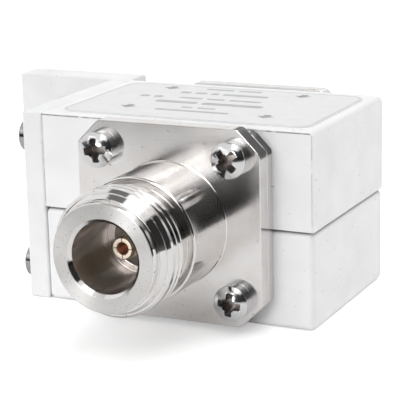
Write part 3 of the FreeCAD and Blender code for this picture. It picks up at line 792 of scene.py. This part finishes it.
def recess_depth(a, b):
    """Depth of the cross recess. A wing's floor falls four for one from its reach inwards and
    its flanks twelve for one; a square in the middle with steep walls joins the wings."""
    def fall(distance, slope):
        return np.clip(distance * slope, 0, RECESS_DEPTH)

    def wing(along, across):
        return np.minimum(fall(WING_REACH - np.abs(along), FLOOR_FALL),
                          fall(WING_HALF - np.abs(across), FLANK_FALL))

    middle = fall(MIDDLE_HALF - np.maximum(np.abs(a), np.abs(b)), MIDDLE_FALL)
    return np.maximum(np.maximum(wing(a, b), wing(b, a)), middle)


print("the cross is", 2 * WING_REACH, "mm across and", RECESS_DEPTH, "mm deep")

# %% One screw


def add_screws(name, screws, material, node):
    """Adds a set of four screws. How far down in its recess each point lies, 0 to 1, goes with
    it as an attribute for the finish."""
    piece = add_piece(name, screws, material, [node], sharp_angle=38)
    share = np.zeros((4, len(screws[0]) // 4), np.float32)
    share[:, :FIELD_A.size] = (recess_depth(FIELD_A, FIELD_B) / RECESS_DEPTH).ravel()
    attribute = piece.data.attributes.new("recess", "FLOAT", "POINT")
    attribute.data.foreach_set("value", share.ravel())


def screw_shape(length, turn_degrees):
    """Head and shank in one closed surface. The square field bends to a disc towards its rim:
    a point keeps its larger coordinate as its distance from the axis."""
    larger = np.maximum(np.abs(FIELD_A), np.abs(FIELD_B))
    round_share = np.clip((larger - 0.5) / (FIELD_HALF - 0.5), 0, 1)
    round_share = round_share ** 2 * (3 - 2 * round_share)
    pull = 1 + round_share * (larger / np.maximum(np.hypot(FIELD_A, FIELD_B), 1e-9) - 1)
    x, y = FIELD_A * pull, FIELD_B * pull
    height = dome_height(np.hypot(x, y)) - recess_depth(FIELD_A, FIELD_B)
    field = np.stack([x, y, height], axis=-1).reshape(-1, 3)
    numbers = np.arange(FIELD_LINES ** 2).reshape(FIELD_LINES, FIELD_LINES)
    rim = np.concatenate([numbers[:-1, 0], numbers[-1, :-1], numbers[:0:-1, -1], numbers[0, :0:-1]])
    quads = grid_quads(FIELD_LINES, FIELD_LINES, wrap_columns=False)[:, ::-1]
    # The first corner is the field's rim, so its own seven points are left out.
    outer = softened([(FIELD_HALF, dome_height(FIELD_HALF), 0), (SHOULDER, dome_height(SHOULDER), 0),
                      (HEAD_RADIUS, HEAD_SIDE - 0.02, 0), (HEAD_RADIUS, 0, 0),
                      (SHANK_RADIUS, 0, 0), (SHANK_RADIUS, -length, 0)],
                     (0, 0.16, 0.24, 0.08, 0.03, 0.25))[7:]
    rim_angle = np.arctan2(field[rim, 1], field[rim, 0])
    rings = polar(outer[:, :1], rim_angle, outer[:, 1:2])
    count, start = len(rim), len(field)
    points = np.concatenate([field, rings.reshape(-1, 3), [[0, 0, -length]]])
    ring_quads = grid_quads(len(outer), count)[:, ::-1] + start
    first = np.stack([rim, np.roll(rim, -1), start + (np.arange(count) + 1) % count,
                      start + np.arange(count)], axis=-1)[:, ::-1]
    end = fan(start + (len(outer) - 1) * count + np.arange(count), len(points) - 1)
    turn_by = math.radians(turn_degrees)
    cos, sin = math.cos(turn_by), math.sin(turn_by)
    spun = np.stack([cos * points[:, 0] - sin * points[:, 1],
                     sin * points[:, 0] + cos * points[:, 1], points[:, 2]], axis=1)
    return spun, np.concatenate([quads, first, ring_quads]), end[:, ::-1]


def shifted(shape, x, y, z):
    """The same shape further along."""
    return shape[0] + np.array([x, y, z], float), shape[1], shape[2]

# %% Port screws
HOLE_HALF = 9.13
PORT_SCREW_LENGTH = 7.9
PORT_SCREW_TURNS = {"equipment": (8, 43, -7, 22), "antenna": (15, 62, 33, 80)}
CORNERS = ((-1, 1), (1, 1), (1, -1), (-1, -1))
for side in PORTS:
    four = [shifted(screw_shape(PORT_SCREW_LENGTH, turn_by), sx * HOLE_HALF, sy * HOLE_HALF, 0)
            for (sx, sy), turn_by in zip(CORNERS, PORT_SCREW_TURNS[side])]
    add_screws(f"{side}_port_cross_screws", at_port(joined(four), side), bright_steel,
               f"{side}_port_screws")

# %% Bracket screws
BRACKET_SCREW_LENGTH = 8.2
x0, x1, y0, y1, z0, z1 = sides("bracket_screws")
screw_ys = (y0 + HEAD_RADIUS, y1 - HEAD_RADIUS)
screw_zs = (z0 + HEAD_RADIUS, z1 - HEAD_RADIUS)
bracket_set = []
for number, turn_by in enumerate((20, 65, 5, 40)):
    points, quads, triangles = screw_shape(BRACKET_SCREW_LENGTH, turn_by)
    outwards = np.stack([-points[:, 2], points[:, 0], -points[:, 1]], axis=1)
    bracket_set.append(shifted((outwards, quads, triangles), x0 + HEAD_TOP,
                               screw_ys[number // 2], screw_zs[number % 2]))
add_screws("bracket_cross_screws", joined(bracket_set), worn_steel, "bracket_screws")

# %% [markdown]
# ## The two housing halves
# Each half is a milled box with a pocket. It could be a cube with bevels, but the top half has
# one long edge rounder than the others and the lower half is soft all round. So each is built
# from level rings: rounded rectangles whose four sides may each be pulled in by their own amount
# at every height. The chain of rings runs up the outside and down into the pocket, and in the
# upper half the other way round.

# %% Level rings


def level_ring(x0, x1, y0, y1, corner, z, steps=5):
    """A rounded rectangle at height z, anticlockwise from above: four quarter circles of
    radius corner whose ends are joined by straight sides."""
    corner = max(corner, 1e-4)
    angle = np.arange(4)[:, None] * math.pi / 2 + np.linspace(0, math.pi / 2, steps + 1)
    left, right, front, back = x0 + corner, x1 - corner, y0 + corner, y1 - corner
    x = np.array([[right], [left], [left], [right]]) + corner * np.cos(angle)
    y = np.array([[back], [back], [front], [front]]) + corner * np.sin(angle)
    return np.stack([x, y, np.full_like(x, z)], axis=-1).reshape(-1, 3)


def rounding(z, edge, radius, upwards=True):
    """How far a side is pulled in at height z near an edge of that radius: the gap between a
    quarter circle and the corner it replaces."""
    rise = np.clip((z - (edge - radius)) if upwards else ((edge + radius) - z), 0, radius)
    return radius - np.sqrt(np.maximum(radius ** 2 - rise ** 2, 0))

# %% The halves
X0, X1, Y0, Y1, _, SPLIT = sides("lower_housing")
TOP = sides("upper_housing")[-1]
SPLIT_GAP = 0.15
LAND_INSET = 1.3
LOWER_RADIUS = 0.8
UPPER_BREAK = 0.14
UPPER_LONG_RADIUS = 0.95
POCKET = (X0 + 6.5, X1 - 3.0, Y0 + 5.0, Y1 - 5.0)
POCKET_CORNER = 1.0
POCKET_FLOOR = 3.0
SHARP = 0.02


def inset_ring(inset, corner, z, right=None):
    """The block's outline pulled in by inset, the right side by its own amount."""
    right = inset if right is None else right
    return level_ring(X0 + inset, X1 - right, Y0 + inset, Y1 - inset, corner, z)


def pocket_ring(z):
    """The pocket's outline."""
    return level_ring(*POCKET, POCKET_CORNER, z)


def lower_rings():
    """From the bottom face up the rounded outside, over the land, and down into the pocket."""
    rim = SPLIT - SPLIT_GAP
    turn = np.linspace(0, math.pi / 2, 7)
    rings = []
    for heights, edge, upwards in ((LOWER_RADIUS * (1 - np.cos(turn)), 0, False),
                                   (rim - LOWER_RADIUS * (1 - np.sin(turn)), rim, True)):
        rings += [inset_ring(inset, max(LOWER_RADIUS - inset, SHARP), z)
                  for inset, z in zip(rounding(heights, edge, LOWER_RADIUS, upwards), heights)]
    return rings + [inset_ring(LAND_INSET, SHARP, rim), inset_ring(LAND_INSET, SHARP, SPLIT),
                    pocket_ring(SPLIT), pocket_ring(POCKET_FLOOR)]


def upper_rings():
    """From the pocket's ceiling down its wall, out over the split face, and up the outside."""
    rings = [pocket_ring(TOP - POCKET_FLOOR), pocket_ring(SPLIT),
             inset_ring(UPPER_BREAK, UPPER_BREAK, SPLIT)]
    rings += [inset_ring(rounding(z, SPLIT, UPPER_BREAK, False), UPPER_BREAK, z)
              for z in SPLIT + UPPER_BREAK * np.array([0.15, 0.5, 1.0])]
    turn = np.linspace(0, math.pi / 2, 9)
    heights = np.unique(np.concatenate([TOP - UPPER_LONG_RADIUS * (1 - np.sin(turn)),
                                        TOP - UPPER_BREAK * (1 - np.sin(turn[::2]))]))
    return rings + [inset_ring(rounding(z, TOP, UPPER_BREAK), UPPER_BREAK, z,
                               rounding(z, TOP, UPPER_LONG_RADIUS)) for z in heights]


for half, rings in (("lower", lower_rings()), ("upper", upper_rings())):
    add_piece(f"{half}_half_milled", upside_checked(stacked(rings)), block_white,
              [f"{half}_housing"], sharp_angle=50, even=True)

# %% [markdown]
# ## The bracket
# An angle with flat legs and drilled holes is quickest as a prism, with the holes cut by a
# Boolean modifier and a small bevel on every edge. Both are applied here, so that what is
# measured and exported is the plain finished mesh.

# %% Angle bracket
LEFT, OUTER, FRONT, BACK, _, BRACKET_TOP = sides("mounting_bracket")
SIDE_LEG = 2.95
REAR_LEG = 5.0
HOLE_RADIUS = 2.6
HOLE_SPACING = 14.0
EDGE_CUT = 0.3


def prism_shape(outline, z0, z1):
    """An upright prism over a closed outline, its caps cut into two listed rectangles."""
    count = len(outline)
    points = np.concatenate([np.c_[outline, np.full(count, z)] for z in (z0, z1)])
    walls = grid_quads(2, count)
    top = np.array([[0, 1, 2, 5], [2, 3, 4, 5]]) + count
    bottom = np.array([[5, 2, 1, 0], [5, 4, 3, 2]])
    return points, np.concatenate([walls, top, bottom]), NO_TRIANGLES


def rod_along_y(radius, x, y0, y1, z, count=64):
    """A closed cylinder along Y, as two rings and two fans."""
    angle = np.linspace(0, 2 * math.pi, count, endpoint=False)
    ring = np.stack([x + radius * np.cos(angle), 0 * angle, z - radius * np.sin(angle)], axis=1)
    rings = [ring + [0, y, 0] for y in (y0, y1)]
    return upside_checked(stacked(rings))


def apply_modifiers(piece):
    """Keeps the mesh as the modifiers leave it and takes them off."""
    bpy.context.view_layer.update()
    finished = bpy.data.meshes.new_from_object(
        piece.evaluated_get(bpy.context.evaluated_depsgraph_get()))
    piece.modifiers.clear()
    piece.data = finished


INNER_X, INNER_Y = OUTER - SIDE_LEG, BACK - REAR_LEG
outline = [(INNER_X, FRONT), (OUTER, FRONT), (OUTER, BACK), (LEFT, BACK), (LEFT, INNER_Y),
           (INNER_X, INNER_Y)]
bracket = add_piece("angle_bracket", prism_shape(outline, 0, BRACKET_TOP), bracket_white,
                    ["mounting_bracket"])
drills = joined([rod_along_y(HOLE_RADIUS, (LEFT + INNER_X) / 2, INNER_Y - 2, BACK + 2,
                             BRACKET_TOP / 2 + step * HOLE_SPACING / 2) for step in (-1, 1)])
drill_mesh = bpy.data.meshes.new("drills")
drill_mesh.from_pydata((drills[0] * MM).tolist(), [], drills[1].tolist() + drills[2].tolist())
drill = bpy.data.objects.new("drills", drill_mesh)
bpy.context.scene.collection.objects.link(drill)
cut = bracket.modifiers.new("holes", "BOOLEAN")
cut.operation, cut.object, cut.solver = "DIFFERENCE", drill, "EXACT"
soften = bracket.modifiers.new("edges", "BEVEL")
soften.width, soften.segments, soften.limit_method = EDGE_CUT * MM, 3, "ANGLE"
soften.angle_limit = math.radians(40)
apply_modifiers(bracket)
bpy.data.objects.remove(drill)
bracket.data.shade_smooth()
bracket.data.set_sharp_from_angle(angle=math.radians(50))
even_shading(bracket)
print("bracket faces:", len(bracket.data.polygons))

# %% [markdown]
# ## Label
# A film with rounded corners lies on the top. Its print is kept generic: four arrow marks and
# plain grey bars in place of the lettering. A thin grey line just inside the film's edge is painted
# shade along that edge. Each is a thin solid of its own a hair above the film, so the print and
# the line are crisp at any distance.

# %% Film and print
*LABEL, FILM_BOTTOM, FILM_TOP = sides("top_label")
FILM_EDGE = 0.03
INK = (FILM_TOP - 0.005, FILM_TOP + 0.012)
LABEL_CORNER = 2.3


def label_ring(inset, z):
    """The label's outline pulled in by inset."""
    x0, x1, y0, y1 = LABEL
    return level_ring(x0 + inset, x1 - inset, y0 + inset, y1 - inset, LABEL_CORNER - inset, z, 12)


film = [label_ring(0, FILM_BOTTOM), label_ring(0, FILM_TOP - FILM_EDGE),
        label_ring(FILM_EDGE, FILM_TOP)]
add_piece("label_film_sheet", upside_checked(stacked(film)), label_film, ["top_label"],
          sharp_angle=30)


def bar(x0, x1, y0, y1):
    """One printed bar: a thin solid with softly rounded ends."""
    corner = 0.35 * min(y1 - y0, x1 - x0)
    return stacked([level_ring(x0, x1, y0, y1, corner, z) for z in INK])


def arrow(x, y, across, along):
    """A printed arrow mark that points to the front: a triangle on a short stem."""
    outline = np.array([(0, -0.5), (0.5, 0.05), (0.2, 0.05), (0.2, 0.5),
                        (-0.2, 0.5), (-0.2, 0.05), (-0.5, 0.05)]) * [across, along] + [x, y]
    return stacked([np.c_[outline, np.full(7, z)] for z in INK])


# One printed line each: centre x, centre y, height, and the lengths of its word-like bars, in mm
LINES = [(-1.1, 8.95, 0.75, (4.2, 3.4)), (-1.2, 5.85, 1.1, (1.5, 1.7, 1.1, 6.6)),
         (-0.2, 2.35, 0.75, (3.4, 2.6, 4.6)), (-0.5, -0.65, 1.35, (6.2, 8.8)),
         (-0.55, -3.65, 0.7, (1.6, 2.6)), (-0.5, -5.85, 0.8, (10.6,)),
         (-10.4, 2.15, 1.15, (1.4, 1.3))]
WORD_GAP = 0.7


def words(x, y, height, lengths):
    """The bars of one line, centred on x, as (x0, x1, y0, y1)."""
    ends = np.cumsum([0.0] + [length + WORD_GAP for length in lengths])
    starts = x - (ends[-1] - WORD_GAP) / 2 + ends[:-1]
    return [(start, start + length, y - height / 2, y + height / 2)
            for start, length in zip(starts, lengths)]


print_shape = joined([bar(*place) for line in LINES for place in words(*line)])
add_piece("label_print_bars", upside_checked(print_shape), bar_grey)
ARROWS = [(-10.15, -5.15), (-10.35, 8.45), (10.05, -5.9), (9.45, 8.25)]
ARROW_SIZE = (2.4, 2.0)
add_piece("label_arrow_marks", upside_checked(joined([arrow(x, y, *ARROW_SIZE) for x, y in ARROWS])),
          print_grey)
# Painted shade: a thin grey line just inside the film's edge, as the shade along that edge.
outer, inner = 0.25, 0.42
border = [label_ring(inset, z) for inset, z in zip((outer, outer, inner, inner), INK + INK[::-1])]
border_shape = (np.concatenate(border), grid_quads(4, len(border[0]), wrap_rows=True), NO_TRIANGLES)
add_piece("label_edge_shade_line", upside_checked(border_shape), edge_shade_grey)

# %% [markdown]
# ## Finishes of the CAD nodes
# The pieces in the pocket are never seen with the halves shut. Their CAD solids are right as
# they are, so they only get finishes. Every other node has the finish of the piece that stands
# for it, but the bracket's screws have the bright one.

# %% A finish for every node
brass = simple_metal("bare_brass", (206, 172, 104), 0.3)
nickel = simple_metal("nickel_electrode", (196, 192, 186), 0.28)
tin = simple_metal("tinned_wire", (204, 204, 206), 0.24)
finishes |= {
    "capacitor_equipment_plate": brass, "capacitor_antenna_plate": brass, "discharge_lug": brass,
    "capacitor_dielectric": dull_solid("amber_film", (176, 122, 48), 0.3),
    "gas_tube_ceramic": dull_solid("tube_ceramic", (228, 222, 208), 0.6),
    "gas_tube_inner_electrode": nickel, "gas_tube_outer_electrode": nickel,
    "gas_tube_spring": simple_metal("spring_bronze", (196, 142, 96), 0.26),
    "choke_core": dull_solid("ferrite", (44, 43, 44), 0.55),
    "choke_winding": simple_metal("enamelled_copper", (178, 92, 52), 0.3),
    "choke_contact_lead": tin, "choke_wall_lead": tin, "bracket_screws": bright_steel,
}
for name, material in finishes.items():
    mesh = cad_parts[name].data
    mesh.materials.clear()
    mesh.materials.append(material)
print("CAD nodes with a finish:", len(finishes), "of", len(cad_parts))

# %% [markdown]
# ## Light and floor
# Bright metal shows its surroundings more than itself. What the photographed port mirrors can be
# read back from its known slopes: a dark room low on the right, a long bright light overhead, and
# a paler light on the left. All of them run along the port's axis, so the world is painted by the
# angle around that axis. The thread's lead, which leans forwards, shows a gap in the overhead
# light, and the flange shows that the room is dark low in front. A pale floor is the table.

# %% World
# Each band is (angle about the port's axis in degrees, 0 at the right and 90 overhead; light).
OVERHEAD = [(0, 0.03), (48, 0.03), (52, 0.9), (60, 0.95), (72, 2.4), (89, 2.4), (94, 1.0),
            (117, 1.0), (121, 0.95)]
IN_FRONT = [(0, 0.03), (72, 0.04), (86, 0.5), (102, 1.1), (118, 0.7), (124, 0.5), (142, 0.5),
            (156, 0.13)]
BEHIND = [(0, 0.1), (45, 0.15), (75, 1.0)]
# What the gap takes away from OVERHEAD.
GAP = [(0, 0.0), (89, 0.0), (94, 0.8), (117, 0.8), (121, 0.0)]
# Directions are told apart by y / z. The overhead light ends between the first two, the gap
# fades out between the next two, and the light in front grows dim past the last two.
LIGHT_ENDS = (1.5, 1.65)
GAP_END = (-0.5, -0.2)
HORIZON = (-9.0, -6.0)


def room():
    """White for the camera. For light and reflections the bands of OVERHEAD less GAP, which give
    way to those of IN_FRONT or BEHIND where a direction leans far along the axis."""
    world = bpy.data.worlds.new("room")
    bpy.context.scene.world = world
    world.use_nodes = True
    background = world.node_tree.nodes["Background"]
    parts = split(add_node(background, "ShaderNodeTexCoord").outputs["Generated"])
    around = math_node("ARCTAN2", parts["Z"], parts["X"])
    slope = math_node("DIVIDE", parts["Y"], parts["Z"])

    def banded(table):
        """The light at the angle around, level or rising evenly between a table's angles."""
        level = table[0][1]
        for (low, value), (high, following) in zip(table, table[1:]):
            step = spread(around, math.radians(low), math.radians(high), 0.0, following - value)
            level = math_node("ADD", step, level)
        return level

    def rest(share):
        """What a share leaves of 1."""
        return spread(share, 0, 1, 1, 0)

    ends = spread(math_node("ABSOLUTE", slope), *LIGHT_ENDS)
    behind = spread(parts["Y"], -0.02, 0.02)
    gap = times(banded(GAP), spread(slope, *GAP_END))
    overhead = math_node("SUBTRACT", banded(OVERHEAD), gap)
    ahead = times(banded(IN_FRONT), spread(slope, *HORIZON, 0.1, 1.0))
    beyond = math_node("MAXIMUM", times(banded(BEHIND), behind), times(ahead, rest(behind)))
    light = math_node("ADD", times(overhead, rest(ends)), times(beyond, ends))
    from_camera = add_node(background, "ShaderNodeLightPath").outputs["Is Camera Ray"]
    drive(background, "Strength", math_node("MAXIMUM", light, from_camera))
    background.inputs["Color"].default_value = (1.0, 1.0, 1.0, 1.0)


room()
print("bands overhead, in front and behind:", len(OVERHEAD), len(IN_FRONT), len(BEHIND))

# %% Floor
FLOOR_HALF, FLOOR_FRONT = 1500, 135


def floor_piece():
    """A wide pale sheet. It ends a little in front of the part, because past that the
    photographed metal mirrors a dark room and no table. For the camera a little light of its
    own lifts it to white."""
    half, front = FLOOR_HALF * MM, FLOOR_FRONT * MM
    corners = [(-half, -front, 0), (half, -front, 0), (half, half, 0), (-half, half, 0)]
    mesh = bpy.data.meshes.new("table")
    mesh.from_pydata(corners, [], [(0, 1, 2, 3)])
    material, shader = new_material("table_top", 0.7, 0.0, (243, 243, 243))
    from_camera = add_node(shader, "ShaderNodeLightPath").outputs["Is Camera Ray"]
    shader.inputs["Emission Color"].default_value = (1.0, 1.0, 1.0, 1.0)
    drive(shader, "Emission Strength", spread(from_camera, 0, 1, 0.0, 0.36))
    mesh.materials.append(material)
    piece = bpy.data.objects.new("table", mesh)
    bpy.context.scene.collection.objects.link(piece)


floor_piece()
print("the floor ends", FLOOR_FRONT, "mm in front")

# %% Lights
LAMP_DISTANCE = 520
AIM_HEIGHT = 13


def soft_box(name, azimuth, elevation, size_mm, brightness):
    """A rectangular area light that looks at the object from an azimuth (0 is the front port's
    side, positive to the right) and an elevation, in degrees. Its power follows from its area,
    so that brightness is how white it looks in a mirror."""
    data = bpy.data.lights.new(name, "AREA")
    data.shape, data.size, data.size_y = "RECTANGLE", size_mm[0] * MM, size_mm[1] * MM
    data.energy = 4 * brightness * data.size * data.size_y
    lamp = bpy.data.objects.new(name, data)
    az, el = math.radians(azimuth), math.radians(elevation)
    back = np.array([math.sin(az) * math.cos(el), -math.cos(az) * math.cos(el), math.sin(el)])
    side = np.array([math.cos(az), math.sin(az), 0.0])
    facing = np.stack([side, np.cross(back, side), back], axis=1)
    lamp.matrix_world = Matrix(facing.tolist()).to_4x4()
    lamp.location = (back * LAMP_DISTANCE * MM).tolist()
    lamp.location.z += AIM_HEIGHT * MM
    bpy.context.scene.collection.objects.link(lamp)
    print(f"{name}: {data.energy:.2f} W")
    return lamp


soft_box("front_box", -36, 22, (420, 200), 0.6)
soft_box("front_lamp", -8, 9, (170, 150), 6.4)
# The thread would mirror this one as bright lines that the photograph does not have.
soft_box("right_box", 130, 15, (260, 120), 7.3).visible_glossy = False
